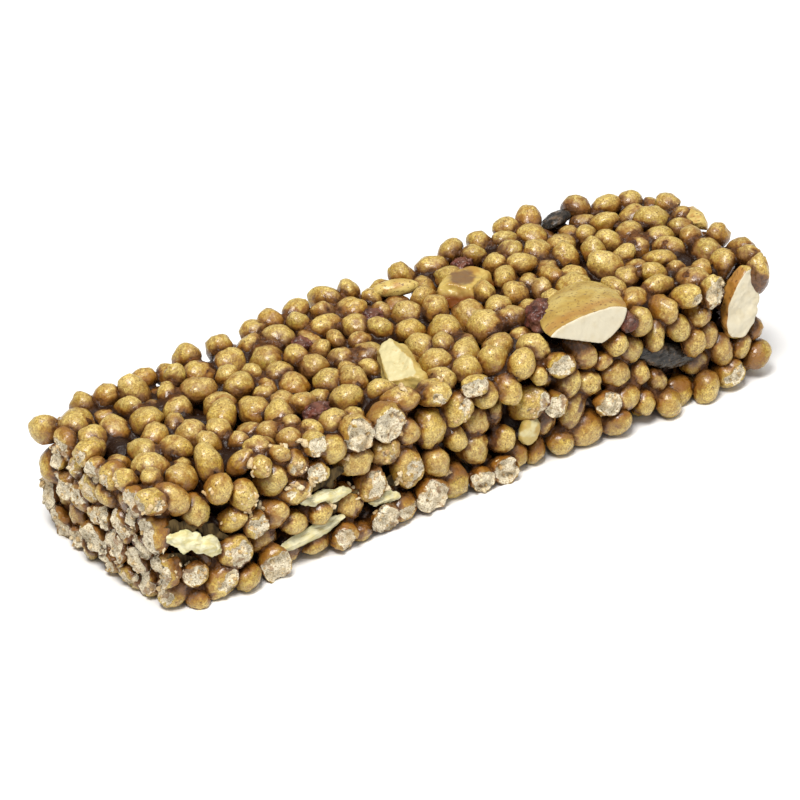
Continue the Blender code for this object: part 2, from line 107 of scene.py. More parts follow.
def depths(place):
    """How deep each place lies inside each of the four cut sides."""
    x, y, z = place.T
    foot = 1 - z / HEIGHT
    corner, bulge = (hump((y - v) ** 2, reach, height) for v, reach, height in (NEAR_CORNER, FAR_HUMP))
    back, front = (
        WIDTH / 2 + sum(hump((x - u) ** 2, reach, height) for u, reach, height in humps)
        for humps in (BACK_HUMPS, FRONT_HUMPS))
    near = -LENGTH / 2 + NEAR_SKEW * y + (NEAR_SLANT + corner) * foot
    far = LENGTH / 2 + FAR_SKEW * y + bulge - FAR_SLANT * foot
    return {"near": x - near, "far": far - x, "front": y + front, "back": back - y}


OUTWARD = {
    "near": Vector((-1, 0, 0)), "far": Vector((1, 0, 0)),
    "front": Vector((0, -1, 0)), "back": Vector((0, 1, 0)),
}


def close_pairs(place, reach):
    """Index pairs of balls whose reaches meet."""
    firsts, seconds = [], []
    for start in range(0, len(place), 200):
        block = place[start:start + 200]
        x, y, z = (block[:, None, k] - place[None, :, k] for k in range(3))
        touch = x * x + y * y + z * z < (reach[start:start + 200, None] + reach[None]) ** 2
        i, j = np.nonzero(touch)
        later = j > i + start
        firsts.append(i[later] + start)
        seconds.append(j[later])
    return np.concatenate(firsts), np.concatenate(seconds)


def pack_crisps(rng, blockers):
    """Balls shaken together inside the bar, clear of the blockers."""
    count = int(LENGTH * WIDTH * HEIGHT * CRISP_FILL / (4 / 3 * math.pi * CRISP_RADIUS ** 3))
    radius = CRISP_RADIUS + CRISP_SPREAD * (rng.random((count, 3)) - 0.5).sum(1)
    place = (rng.random((count, 3)) * 2 - 1) * (LENGTH / 2, WIDTH / 2, HEIGHT / 2) + (0, 0, HEIGHT / 2)
    sliced, limit = {}, {}
    for side, chance in SLICE_CHANCE.items():
        chances = np.full(count, chance)
        if side == "front":
            chances = np.interp(place[:, 0], FRONT_FADE, (chance, FRONT_FADED_CHANCE))
        sliced[side] = rng.random(count) < chances
        low, high = (np.where(sliced[side], a, b) for a, b in zip(SLICED_SHARE, WHOLE_SHARE))
        limit[side] = radius * (low + (high - low) * rng.random(count))
    chance = rng.random(count)
    ceiling = radius + TOP_DROP * chance * chance

    proud, fixed = np.array(PROUD), np.array(blockers)
    place = np.vstack([place, proud[:, :3], fixed[:, :3]])
    reach = np.concatenate([radius, proud[:, 3], fixed[:, 3]])
    loose = slice(count)
    for turn in range(SETTLE_TURNS):
        if turn % 6 == 0:
            i, j = close_pairs(place, reach + 0.5)
            top = top_height(place[loose, 0], place[loose, 1]) - ceiling
        x, y, z = (place[i, k] - place[j, k] for k in range(3))
        apart = np.sqrt(x * x + y * y + z * z) + 1e-9
        push = 0.45 * np.maximum(reach[i] + reach[j] - apart, 0) / apart
        for k, gap in enumerate((x, y, z)):
            move = np.bincount(i, gap * push, len(place)) - np.bincount(j, gap * push, len(place))
            place[loose, k] += move[loose]
        place[loose, 2] = np.clip(place[loose, 2], radius, top)
        for side, depth in depths(place[loose]).items():
            axis = 1 if side in ("front", "back") else 0
            place[loose, axis] -= OUTWARD[side][axis] * np.maximum(limit[side] - depth, 0)
    crisps = slice(count + len(proud))
    whole = np.zeros(len(proud), bool)
    return place[crisps], reach[crisps], {side: np.append(cut, whole) for side, cut in sliced.items()}


def shape_axes(rng, radius):
    """Each crisp's three half axes as the columns of a matrix: an oval ball turned at random."""
    count = len(radius)
    spin = rng.normal(size=(count, 4))
    w, x, y, z = (spin / np.sqrt((spin ** 2).sum(1))[:, None]).T
    turn = np.stack([
        np.stack([1 - 2 * (y * y + z * z), 2 * (x * y - z * w), 2 * (x * z + y * w)], -1),
        np.stack([2 * (x * y + z * w), 1 - 2 * (x * x + z * z), 2 * (y * z - x * w)], -1),
        np.stack([2 * (x * z - y * w), 2 * (y * z + x * w), 1 - 2 * (x * x + y * y)], -1)], 1)
    stretch = 1 + CRISP_STRETCH * rng.random(count)
    squeeze = 1 - 0.5 * CRISP_STRETCH * rng.random(count)
    half = np.stack([radius * stretch, radius * squeeze, radius / (stretch * squeeze)], -1)
    return turn * half[:, None, :]


def knife_cuts(rng, place, radius, sliced):
    """The cut planes (point, outward normal) of each crisp."""
    cuts = [[] for _ in place]
    for side, depth in depths(place).items():
        tilt = SLICE_TILT * (rng.random((len(place), 3)) - 0.5)
        for k in np.nonzero(sliced[side] & (depth < SLICED_WITHIN * radius))[0]:
            out = OUTWARD[side]
            cuts[k].append((Vector(place[k]) + out * depth[k], (out + Vector(tilt[k])).normalized()))
    return cuts


def slice_off(bm, point, normal):
    """Cut away what lies beyond a plane and close the cut."""
    geometry = bm.verts[:] + bm.edges[:] + bm.faces[:]
    bmesh.ops.bisect_plane(bm, geom=geometry, plane_co=point, plane_no=normal, clear_outer=True)
    bmesh.ops.holes_fill(bm, edges=[edge for edge in bm.edges if edge.is_boundary], sides=0)


def ball(point=0.0, segments=44, rings=22):
    """An oval ball, drawn to a blunt point at its +X end."""
    def make(half):
        bm = bmesh.new()
        bmesh.ops.create_uvsphere(bm, u_segments=segments, v_segments=rings, radius=1)
        for vert in bm.verts:
            x, y, z = vert.co
            slim = 1 - point * max(x, 0) ** 2
            vert.co = (x * half[0], y * half[1] * slim, z * half[2] * slim)
        return bm
    return make


def lump(roughness, seed):
    """A broken or dried lump: a boxy ball whose corners lie at uneven distances."""
    def make(half):
        rng = np.random.default_rng(seed)
        bm = bmesh.new()
        bmesh.ops.create_icosphere(bm, subdivisions=2, radius=1)
        for vert in bm.verts:
            square = sum(abs(c) ** 4 for c in vert.co) ** -0.25
            reach = 0.5 * (1 + square) * (1 + roughness * (rng.random() - 0.5))
            vert.co = Vector(c * h * reach for c, h in zip(vert.co, half))
        return bm
    return make


def flake(teeth, seed, bend=0.0, steps=9):
    """A torn, flat piece of seed with an uneven outline, bent along its length."""
    def make(half):
        rng = np.random.default_rng(seed)
        bm = bmesh.new()
        rows = []
        for step in range(steps + 1):
            along = 2 * step / steps - 1
            width = half[1] * (1 - 0.75 * abs(along) ** 3)
            front = -width * (1 - teeth * rng.random())
            back = width * (1 - teeth * rng.random())
            rise = bend * (1 - along * along)
            thick = half[2] * (1 - 0.5 * along * along)
            rim = ((front, 0), (0.5 * (front + back), thick), (back, 0), (0.5 * (front + back), -thick))
            rows.append([bm.verts.new((along * half[0], y, rise + z)) for y, z in rim])
        for row, after in zip(rows, rows[1:]):
            for k in range(4):
                bm.faces.new((row[k], after[k], after[k - 3], row[k - 3]))
        bm.faces.new(rows[0])
        bm.faces.new(rows[-1])
        bmesh.ops.recalc_face_normals(bm, faces=bm.faces)
        return bm
    return make


def almond_half(half):
    """Half a kernel on its round side: its flat side up and a little domed, its front cut off."""
    a, b, c = half
    bm = ball(0.2, 64, 32)((1.1 * a, 1.08 * b, 1))
    for vert in bm.verts:
        high = vert.co.z
        vert.co.z = c * (0.85 + (0.55 * high * high * (2 - high * high) if high > 0 else 1.85 * high))
    turn = Matrix.Rotation(math.radians(-ALMOND_TURN), 3, "Z")
    forward = turn @ Vector((0, -1, 0.08))
    slice_off(bm, 0.55 * b * forward, forward)
    slice_off(bm, turn @ Vector((-0.2 * a, 0, -0.3 * c)), turn @ Vector((-0.45, 0, -1)))
    slice_off(bm, (0, 0, -0.95 * c), (0, 0, -1))
    return bm


def almond_end(half):
    """A thick slice of kernel, slimmer at its head, its cut to the front."""
    bm = lump(0.14, 3)(half)
    for vert in bm.verts:
        vert.co.x *= 1 - 0.35 * max(vert.co.z / half[2], 0)
    slice_off(bm, (0, -0.35 * half[1], 0), (-0.1, -1, 0.05))
    return bm


def nut_chunk(half):
    """A broken piece of kernel: facets on its head, and a notch in its right side."""
    a, b, c = half
    bm = lump(0.12, 5)(half)
    slice_off(bm, (-0.1 * a, 0, 0.62 * c), (-0.22, 0.05, 1))
    slice_off(bm, (0.35 * a, 0.35 * b, 0.62 * c), (0.6, 0.3, 1))
    slice_off(bm, (0, -0.72 * b, 0.3 * c), (-0.35, -1, 0.5))
    slice_off(bm, (-0.78 * a, 0, 0), (-1, 0.1, 0.1))
    slice_off(bm, (0.82 * a, 0, 0), (1, 0.1, 0.2))
    for vert in bm.verts:
        x, y, z = vert.co
        if x > 0:
            vert.co.x -= 0.3 * a * math.exp(-((y / b + 0.25) / 0.3) ** 2) * x / a
    return bm


def glazed_wedge(half):
    """A wedge of kernel with a flat, sloping head."""
    bm = lump(0.1, 8)(half)
    slice_off(bm, (0, -0.2 * half[1], 0.66 * half[2]), (0, -0.12, 1))
    slice_off(bm, (-0.7 * half[0], 0, 0), (-1, -0.4, 0.5))
    slice_off(bm, (0, -0.72 * half[1], 0), (0.1, -1, 0.5))
    return bm


Piece = namedtuple("Piece", "shape half middle turn")
ALMOND_TURN = 50
PIECES = {
    "almond_half": Piece(almond_half, (9.5, 6.0, 2.45), (22.6, -13.5, 18.8), (0, 0, ALMOND_TURN)),
    "almond_end": Piece(almond_end, (2.9, 2.8, 5.9), (50.3, -15.8, 14.0), (0, 17, 0)),
    "nut_chunk": Piece(nut_chunk, (3.6, 6.0, 2.7), (-6.2, -7.6, 19.0), (14, 0, -17)),
    "almond_glazed": Piece(glazed_wedge, (5.1, 3.8, 2.5), (15.6, 7.0, 19.3), (0, 0, 22)),
    "nut_sliver": Piece(ball(0.1), (3.7, 1.6, 1.3), (7.2, 13.6, 19.6), (0, 0, -24)),
    "nut_far": Piece(lump(0.3, 21), (3.2, 1.6, 1.4), (56.2, 3.0, 19.2), (0, 0, 75)),
    "nut_front": Piece(lump(0.3, 22), (1.9, 1.1, 2.4), (10.0, -16.2, 6.6), (0, 15, 0)),
    "seed_front": Piece(ball(0.35), (6.2, 2.0, 1.1), (36.8, -14.6, 9.2), (78, 24, 0)),
    "seed_back": Piece(ball(0.35), (3.4, 2.2, 1.0), (39.2, 16.0, 19.8), (-20, 0, 30)),
    "shard_near": Piece(flake(0.5, 31, 0.6), (5.3, 2.0, 0.9), (-48.4, -16.8, 10.2), (80, 31, 0)),
    "shard_middle": Piece(flake(0.45, 32, 0.4), (4.2, 1.6, 0.9), (-26.7, -17.1, 9.8), (85, 7, 0)),
    "shard_long": Piece(flake(0.15, 33), (5.9, 1.3, 0.9), (-29.5, -17.1, 4.6), (85, -7, 0)),
    "shard_foot": Piece(flake(0.4, 34), (2.6, 1.4, 0.8), (-16.5, -16.9, 5.4), (85, 10, 0)),
    **{f"fruit_{k}": Piece(lump(0.3, 40 + k), *values) for k, values in enumerate((
        ((3.4, 1.9, 1.9), (17.9, -8.6, 20.1), (0, 0, 50)),
        ((1.2, 1.1, 1.5), (28.9, -16.2, 18.2), (0, 0, 0)),
        ((1.8, 1.4, 1.3), (18.8, 12.6, 19.8), (0, 0, 0)),
        ((1.6, 1.9, 1.5), (-0.6, 8.4, 19.0), (0, 0, 0)),
        ((1.6, 1.5, 1.4), (-13.6, 8.0, 19.0), (0, 0, 0)),
        ((2.4, 1.6, 1.4), (-22.2, -9.4, 18.6), (0, 0, 20)),
    ), 1)},
}


def placing(piece):
    """A set-in piece's matrix from its own millimetres to the block's."""
    turn = Euler([math.radians(angle) for angle in piece.turn])
    return Matrix.Translation(piece.middle) @ turn.to_matrix().to_4x4()


def blockers_of(piece):
    """Balls that fill a set-in piece, to keep the crisps out of it: x, y, z, radius."""
    a, b, c = (0.94 * half for half in piece.half)
    radius = max(c, 0.9)
    step = 1.5 * radius
    balls = []
    for i in range(-math.ceil(a / step), math.ceil(a / step) + 1):
        for j in range(-math.ceil(b / step), math.ceil(b / step) + 1):
            if (i * step / a) ** 2 + (j * step / b) ** 2 < 0.8:
                middle = placing(piece) @ Vector((i * step, j * step, 0))
                balls.append((*(round(c, 2) for c in middle), round(radius, 2)))
    return balls


# ------ Small tools for shapes ------

LATTICE = np.random.default_rng(5).random((32, 32, 32))


def noise(points):
    """Smooth random values between -1 and 1 that change over one unit."""
    cell = np.floor(points).astype(int)
    part = points - cell
    part = part * part * (3 - 2 * part)
    total = 0.0
    for corner in np.ndindex(2, 2, 2):
        weight = np.prod(np.where(corner, part, 1 - part), -1)
        index = (cell + corner) % 32
        total = total + weight * LATTICE[index[..., 0], index[..., 1], index[..., 2]]
    return 2 * total - 1


def layered(points):
    """Noise with two layers of finer noise on it."""
    return sum(noise(points * 2 ** k + 7.3 * k) / 2 ** k for k in range(3))


def smooth_step(low, high, value):
    """0 up to low, 1 from high on, and smooth between them."""
    share = np.clip((value - low) / (high - low), 0, 1)
    return share * share * (3 - 2 * share)


def unit_ball(subdivisions):
    """An even ball's points and faces."""
    bm = bmesh.new()
    bmesh.ops.create_icosphere(bm, subdivisions=subdivisions, radius=1)
    points = np.array([vert.co[:] for vert in bm.verts])
    faces = np.array([[vert.index for vert in face.verts] for face in bm.faces])
    bm.free()
    return points, faces


SCRAP_FACES = 80    # a part of a mesh with fewer faces than this is left out


def whole_parts(faces, count):
    """The faces of the parts that hang together and aren't scraps."""
    lowest = np.arange(count)
    while True:
        known = lowest.copy()
        ends = lowest[faces].min(1)
        for corner in range(3):
            np.minimum.at(lowest, faces[:, corner], ends)
        lowest = lowest[lowest]
        if (lowest == known).all():
            break
    part = lowest[faces[:, 0]]
    return faces[np.bincount(part)[part] >= SCRAP_FACES]


def new_object(name, data):
    """An object in the scene."""
    obj = bpy.data.objects.new(name, data)
    bpy.context.scene.collection.objects.link(obj)
    return obj


def new_piece(name, points, faces, material, marks=None, tints=None, stands_for=()):
    """One visible piece from points in the block's millimetres, with marks and tints for its material."""
    mesh = bpy.data.meshes.new(name)
    used, faces = np.unique(whole_parts(faces, len(points)), return_inverse=True)
    points = (points[used] - (*MIDDLE, 0)) * MM
    mesh.from_pydata(points.tolist(), [], faces.reshape(-1, 3).tolist())
    mesh.polygons.foreach_set("use_smooth", np.ones(len(mesh.polygons), bool))
    for key, values in (("mark", marks), ("tint", tints)):
        if values is not None:
            layer = mesh.attributes.new(key, "FLOAT_COLOR", "POINT")
            rgba = np.ones((len(points), 4), np.float32)
            rgba[:, :3] = values[used]
            layer.data.foreach_set("color", rgba.ravel())
    mesh.materials.append(materials[material])
    mesh.update()
    obj = new_object(name, mesh)
    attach(obj, "root")
    if stands_for:
        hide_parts(*stands_for)


def new_grains(name, grains, faces, material, marks=None):
    """One visible piece of many small shapes that have the same faces."""
    starts = len(grains[0]) * np.arange(len(grains))
    new_piece(name, np.vstack(grains), (faces + starts[:, None, None]).reshape(-1, 3), material, marks)


# ------ The crisps ------

DRAWN_DEPTH = 4.6   # crisps whose middles lie deeper are not drawn
SKIN_DEPTH = 5.2    # nor faces deeper than this
FOOT_DEPTH = 3.2    # crisps whose middles lie below this are drawn at the foot
FOOT_INSIDE = 3.0   # and belong to its piece if they lie this far from the sides
FINE_DEPTH = 3.2    # cut crisps this near a side that the camera sees get finer faces
RIM_DEPTH = 3.5     # crisps this near the top get a painted highlight above, also where they lean outwards
BURIED_GAP = -0.15  # skin this far inside another crisp is left out

OVAL_REACH = 1.25          # no crisp reaches further than this many times its radius
DENTS = ((1.1, 0.10), (2.3, 0.085), (5.3, 0.03))   # how fine and how high a crisp's unevenness is
CREASE = 0.07              # how deep its creases are
ROUNDED = 0.3              # the skin rolls over a cut's edge this far beyond the knife's plane,
                           # but not at the near end
RAGGED = 0.95              # how far the cuts' edges wander
FULL_CUT = 0.22            # how far beyond that a place counts as wholly cut
PORES = (0.14, 0.40, 0.18)     # how deep a cut's face is pitted: everywhere, in wide pores, in fine ones

SYRUP_BLEND = 0.62         # how far two crisps' syrup runs together
SYRUP_SUNK = 0.44          # how far it stays below a lone crisp's skin
SYRUP_RISE = 0.12          # how much higher it stands in some places

# Linear colours of the crisps' skins, with how often each comes.
SKINS = np.array((
    (0.51, 0.35, 0.054), (0.61, 0.445, 0.100), (0.44, 0.245, 0.030),
    (0.32, 0.17, 0.025), (0.43, 0.315, 0.052)))
SKIN_SHARES = (0.34, 0.26, 0.16, 0.10, 0.14)
SKIN_BLEND = 0.35          # how far a crisp's colour goes towards a second one, at most


def depth_under(points):
    """How deep each place lies below the nearest cut side or the top."""
    above = top_height(points[:, 0], points[:, 1]) - points[:, 2]
    return np.minimum.reduce([*depths(points).values(), above])


rng = np.random.default_rng(SEED)
blockers = [blocker for piece in PIECES.values() for blocker in blockers_of(piece)]
place, radius, sliced = pack_crisps(rng, [*PITS, *BAYS, *blockers])
axes = shape_axes(rng, radius)
cuts = knife_cuts(rng, place, radius, sliced)
inverse = np.linalg.inv(axes)
fixed = np.array(blockers)

side_depths = depths(place)
top_depth = top_height(place[:, 0], place[:, 1]) - place[:, 2]
depth = depth_under(place)
drawn = np.nonzero((depth < DRAWN_DEPTH) | (place[:, 2] < FOOT_DEPTH))[0]

neighbours = [[] for _ in place]
for i, j in zip(*close_pairs(place, OVAL_REACH * radius + 0.7)):
    neighbours[i].append(j)
    neighbours[j].append(i)

look = np.random.default_rng(SEED + 1)
skin = SKINS[look.choice(len(SKINS), len(place), p=SKIN_SHARES)]
other = SKINS[look.choice(len(SKINS), len(place), p=SKIN_SHARES)]
skin = skin + SKIN_BLEND * look.random((len(place), 1)) * (other - skin)
skin = skin * (0.9 + 0.2 * look.random((len(place), 1)))
shift = look.random((len(place), 3)) * 30

# Which way is out of the bar at each crisp.
leans = {"top": (0, 0, 1), "foot": (0, 0, -1), **OUTWARD}
lean_depths = {"top": top_depth, "foot": place[:, 2], **side_depths}
outward = sum(np.exp(-lean_depths[s] / 1.6)[:, None] * np.array(leans[s]) for s in leans)
outward /= np.linalg.norm(outward, axis=1)[:, None]


def syrup_rise(points):
    """How much higher the syrup stands at each place."""
    return SYRUP_RISE * smooth_step(0.15, 0.6, noise(points * 0.34 + 4.4))


def cut_away(k, points):
    """A crisp's points, set back to the ragged and porous faces of its cuts, and how much each is cut."""
    cut = np.zeros(len(points))
    even, wide, fine = PORES
    for point, normal in cuts[k]:
        point, normal = np.array(point), np.array(normal)
        beyond = (points - point) @ normal - ROUNDED * (1 - max(-normal[0], 0))
        beyond = beyond + RAGGED * noise(points * 0.75 + 3.1) + 0.2 * noise(points * 2.2)
        pores = even + wide * np.maximum(noise(points * 1.9 + 11), 0) + fine * noise(points * 4.1)
        back = np.where(beyond > 0, beyond + smooth_step(0, 0.4, beyond) * pores, 0)
        points = points - normal * back[:, None]
        cut = np.maximum(cut, smooth_step(0, FULL_CUT, beyond))
    return points, cut


def one_crisp(k, unit):
    """A crisp's points, the gap to its neighbours, and its marks: syrup with painted shade, cut, and a
    painted highlight at the crest.
    """
    seeded = unit + shift[k]
    reach = sum((high * noise(seeded * fine) for fine, high in DENTS), 1)
    reach = reach - CREASE * smooth_step(0.86, 1.0, 1 - np.abs(noise(seeded * 0.9 + 5)))
    points, cut = cut_away(k, place[k] + (unit * reach[:, None]) @ axes[k].T)
    points[:, 2] = np.maximum(points[:, 2], 0.04 * (1 + noise(points * 1.5)))

    gap = np.full(len(unit), 9.0)
    touch = np.full(len(unit), 1e-6)
    for j in neighbours[k]:
        away = (np.linalg.norm((points - place[j]) @ inverse[j].T, axis=1) - 1) * radius[j]
        gap = np.minimum(gap, away)
        touch += np.exp(-away / SYRUP_BLEND)
    close = ((fixed[:, :3] - place[k]) ** 2).sum(1) < (fixed[:, 3] + radius[k] + 2) ** 2
    for *middle, size in fixed[close]:
        touch += np.exp(-(np.linalg.norm(points - middle, axis=1) - size) / SYRUP_BLEND)
    own = (np.linalg.norm((points - place[k]) @ inverse[k].T, axis=1) - 1) * radius[k] * (1 - cut)
    above = SYRUP_SUNK - syrup_rise(points) - SYRUP_BLEND * np.log(touch + np.exp(-0.5 * own / SYRUP_BLEND))

    turned = unit @ axes[k].T / radius[k]
    # The crest, which faces out of the bar, gets a painted highlight; near the top the upper side does too.
    crest_light = turned @ outward[k]
    # Syrup where it stands above the skin, which also serves as painted shade between crisps, and painted
    # shade on the flanks that face into the bar.
    syrup_and_shade = 1 - smooth_step(-0.05, 0.42, above) * (1 - 0.35 * smooth_step(0.7, -0.4, crest_light))
    if top_depth[k] < RIM_DEPTH:
        crest_light = np.maximum(crest_light, 0.8 * turned[:, 2])
    return points, gap, np.stack([syrup_and_shade, cut, smooth_step(-0.2, 1.0, crest_light)], -1)


def piece_of(k):
    """The name of the piece that a crisp belongs to, after the side that it is nearest to."""
    if place[k][2] < FOOT_DEPTH and depth[k] > FOOT_INSIDE:
        return "crisps_foot"
    nearest = min(("top", top_depth), *side_depths.items(), key=lambda side: side[1][k])[0]
    if nearest == "top":
        nearest += "_near" if place[k][0] < 0 else "_far"
    return "crisps_" + nearest


def draw_crisps():
    """All the crisps that show, in a few pieces. Gives each one's drawn points."""
    coarse, fine = unit_ball(3), unit_ball(4)
    pieces, surface = {}, {}
    for k in drawn:
        seen = min(side_depths["near"][k], side_depths["front"][k], top_depth[k]) < FINE_DEPTH
        unit, faces = fine if cuts[k] and seen else coarse
        points, gap, marks = one_crisp(k, unit)
        under = depth_under(points)
        buried = (gap < BURIED_GAP) & (marks[:, 1] < 0.1) & (under > 0.5)
        deep = np.minimum(under, points[:, 2] + 1.5) > SKIN_DEPTH
        keep = ~(buried | deep)[faces].all(1)
        if keep.any():
            used, faces = np.unique(faces[keep], return_inverse=True)
            surface[k] = points[used]
            part = surface[k], faces.reshape(-1, 3), marks[used], np.tile(skin[k], (len(used), 1))
            pieces.setdefault(piece_of(k), []).append(part)
    for name, parts in pieces.items():
        points, faces, marks, tints = zip(*parts)
        starts = np.cumsum([0, *(len(some) for some in points)])
        faces = np.vstack([some + start for some, start in zip(faces, starts)])
        points, marks, tints = map(np.vstack, (points, marks, tints))
        new_piece(name, points, faces, "crisp", marks, tints, ["crisp_mass"])
    return surface


# ------ The syrup between them ------

SYRUP_VOXEL = 0.42
SYRUP_BEHIND_CUT = 0.9     # how far it stays behind the cut sides
SYRUP_FOOT = 0.35          # and above the floor
SYRUP_DEPTH = 5.4          # what lies deeper in the bar isn't drawn
SYRUP_HIDDEN = 0.85        # nor what lies inside this share of a crisp
SYRUP_MARGIN = np.array(((6, 6, 1.0), (7, 6, 5)))     # the grid reaches this far beyond the block


def syrup_grid(low, start, stop):
    """The places of the syrup's grid from one corner's steps to another's."""
    steps = (low[a] + SYRUP_VOXEL * np.arange(start[a], stop[a]) for a in range(3))
    return np.stack(np.meshgrid(*steps, indexing="ij"), -1)


def syrup_surface():
    """The points and triangles of a smooth skin round all the crisps, a little below theirs."""
    low = (-LENGTH / 2, -WIDTH / 2, 0) - SYRUP_MARGIN[0]
    high = (LENGTH / 2, WIDTH / 2, HEIGHT) + SYRUP_MARGIN[1]
    shape = np.ceil((high - low) / SYRUP_VOXEL).astype(int)
    total = np.zeros(shape)
    for middle, size, scale in zip(place, radius, inverse):
        reach = OVAL_REACH * size + 1.8
        start = np.maximum(np.floor((middle - reach - low) / SYRUP_VOXEL).astype(int), 0)
        stop = np.minimum(np.ceil((middle + reach - low) / SYRUP_VOXEL).astype(int) + 1, shape)
        scaled = (syrup_grid(low, start, stop) - middle) @ scale.T
        away = (np.sqrt((scaled ** 2).sum(-1)) - 1) * size
        total[tuple(map(slice, start, stop))] += np.exp(-away / SYRUP_BLEND)
    grid = syrup_grid(low, (0, 0, 0), shape)
    flat = grid.reshape(-1, 3)
    field = -SYRUP_BLEND * np.log(total + 1e-4) + SYRUP_SUNK - syrup_rise(flat).reshape(shape)
    behind = np.minimum.reduce(list(depths(flat).values())).reshape(shape)
    field = np.maximum.reduce([field, SYRUP_BEHIND_CUT - behind, SYRUP_FOOT - grid[..., 2]])
    volume = openvdb.FloatGrid()
    volume.copyFromArray(field.astype(np.float32))
    points, quads = volume.convertToQuads(0.0)
    triangles = np.vstack([quads[:, [0, 1, 2]], quads[:, [0, 2, 3]]])[:, ::-1].astype(int)
    return low + points * SYRUP_VOXEL, triangles


def draw_syrup():
    """The syrup's skin where it shows, as pools and menisci in the crevices."""
    points, triangles = syrup_surface()
    clear = np.ones(len(points), bool)
    thick = np.full(len(points), 9.0)
    for k in drawn:
        near = np.nonzero((np.abs(points - place[k]) < 1.3 * radius[k] + 0.8).all(1))[0]
        scaled = np.linalg.norm((points[near] - place[k]) @ inverse[k].T, axis=1)
        clear[near[scaled < SYRUP_HIDDEN]] = False
        thick[near] = np.minimum(thick[near], (scaled - 1) * radius[k])
    under = depth_under(points)
    clear &= np.minimum(under, points[:, 2] + 1.0) < SYRUP_DEPTH
    triangles = triangles[clear[triangles].any(1)]
    # The first mark is painted shade: how deep the syrup lies inside the bar.
    marks = np.stack([smooth_step(0.5, 3.5, under), smooth_step(0.0, 0.7, thick), 0 * under], -1)
    near_half = points[triangles[:, 0], 0] < 0
    for half, chosen in (("near", near_half), ("far", ~near_half)):
        used, faces = np.unique(triangles[chosen], return_inverse=True)
        faces = faces.reshape(-1, 3)
        new_piece("syrup_" + half, points[used], faces, "syrup", marks[used], stands_for=["crisp_mass"])


# ------ Crumbs, scraps and films ------

CRUMBS_ON_FRONT, CRUMBS_ELSEWHERE = (4, 12), (3, 8)     # how many a cut gets, from and up to
SCRAPS, SCRAP_SIZE = (3, 8), (0.32, 0.5)
TORN_WITHIN, TORN_TO, TORN_ABOVE = 3.4, -4.0, 3.0       # the depth, x and z where crisps are torn
SCRAP_DEPTHS = (-0.2, 3.5)
GRAIN_FOOT = 0.1           # no crumb or scrap goes below this height


def draw_crumbs(surface):
    """Pale crumbs along the cuts' rims, and torn scraps on the front's near part."""
    unit, faces = unit_ball(2)
    grains, marks = [], []

    def on_surface(k, point):
        return surface[k][((surface[k] - point) ** 2).sum(1).argmin()]

    def keep(grain):
        if grain[:, 2].min() > GRAIN_FOOT:
            grains.append(grain)
            marks.append(np.full((len(unit), 3), look.random()))

    for k in surface:
        for point, normal in cuts[k]:
            point, normal = np.array(point), np.array(normal)
            across = np.cross(normal, (0.3, 0.2, 0.9))
            across /= np.linalg.norm(across)
            along = np.cross(normal, across)
            away = (point - place[k]) @ normal
            ring = math.sqrt(max(radius[k] ** 2 - away ** 2, 0.1))
            for _ in range(look.integers(*(CRUMBS_ON_FRONT if normal[1] < -0.8 else CRUMBS_ELSEWHERE))):
                angle = look.random() * 2 * math.pi
                out = ring * (0.35 + 0.5 * look.random())
                spot = point + out * (math.cos(angle) * across + math.sin(angle) * along) - 0.2 * normal
                size = 0.12 + 0.2 * look.random() ** 2
                lumpy = 1 + 0.5 * noise(unit * 1.4 + look.random(3) * 30)
                stretch = 1 + 0.6 * look.random(3)
                keep(on_surface(k, spot) + unit * stretch * size * lumpy[:, None])
        torn = side_depths["front"][k] < TORN_WITHIN and place[k][0] < TORN_TO and place[k][2] > TORN_ABOVE
        for _ in range(look.integers(*SCRAPS) if torn else 0):
            away = outward[k] + (0, -0.8, 0) + 0.6 * look.normal(size=3)
            away /= np.linalg.norm(away)
            middle = on_surface(k, place[k] + axes[k] @ away)
            size = SCRAP_SIZE[0] + SCRAP_SIZE[1] * look.random() ** 1.5
            ragged = 1 + 0.75 * noise(unit * 1.5 + look.random(3) * 30)
            flat = unit * ragged[:, None] * (1, 0.35 + 0.4 * look.random(), 0.5 + 0.4 * look.random())
            turned = flat @ np.linalg.qr(look.normal(size=(3, 3)))[0]
            inside = depths(middle)
            if SCRAP_DEPTHS[0] < inside["front"] < SCRAP_DEPTHS[1] and inside["near"] > 0.2:
                keep(middle + size * turned)
    new_grains("crumbs", grains, faces, "crumb", np.vstack(marks))


# Dark films of seed hull beside the torn kernels: x and z of the middle, y, half sizes and turn.
FILMS = (
    (-50.6, 13.2, -16.6, 3.2, 1.5, -0.35), (-45.4, 10.6, -16.4, 2.4, 1.1, -0.6),
    (-50.2, 7.6, -16.2, 2.6, 1.0, -0.5), (-26.4, 12.4, -17.0, 3.2, 1.3, -0.1),
    (-24.6, 7.2, -16.8, 2.6, 1.0, 0.3), (-31.0, 6.8, -16.9, 2.0, 0.8, 0.2),
    (-15.2, 7.4, -16.4, 1.9, 0.9, -0.2),
)
FILM_THICKNESS = 0.12


def draw_films():
    """Thin, curled films with uneven outlines."""
    unit, faces = unit_ball(4)
    films = []
    for x, z, y, long, wide, turn in FILMS:
        seeded = unit * (1, 0.2, 1) + x
        uneven = 1 + 0.5 * noise(seeded * 2.0) + 0.25 * noise(seeded * 5.0)
        film = unit * (long, FILM_THICKNESS, wide) * uneven[:, None]
        film[:, 1] += 0.5 * noise(film * (0.5, 0, 0.5) + x)
        along, curl, up = film.T
        c, s = math.cos(turn), math.sin(turn)
        films.append(np.stack([x + c * along - s * up, y + curl, z + s * along + c * up], -1))
    new_grains("hull_films", films, faces, "film")


# ------ The set-in pieces ------

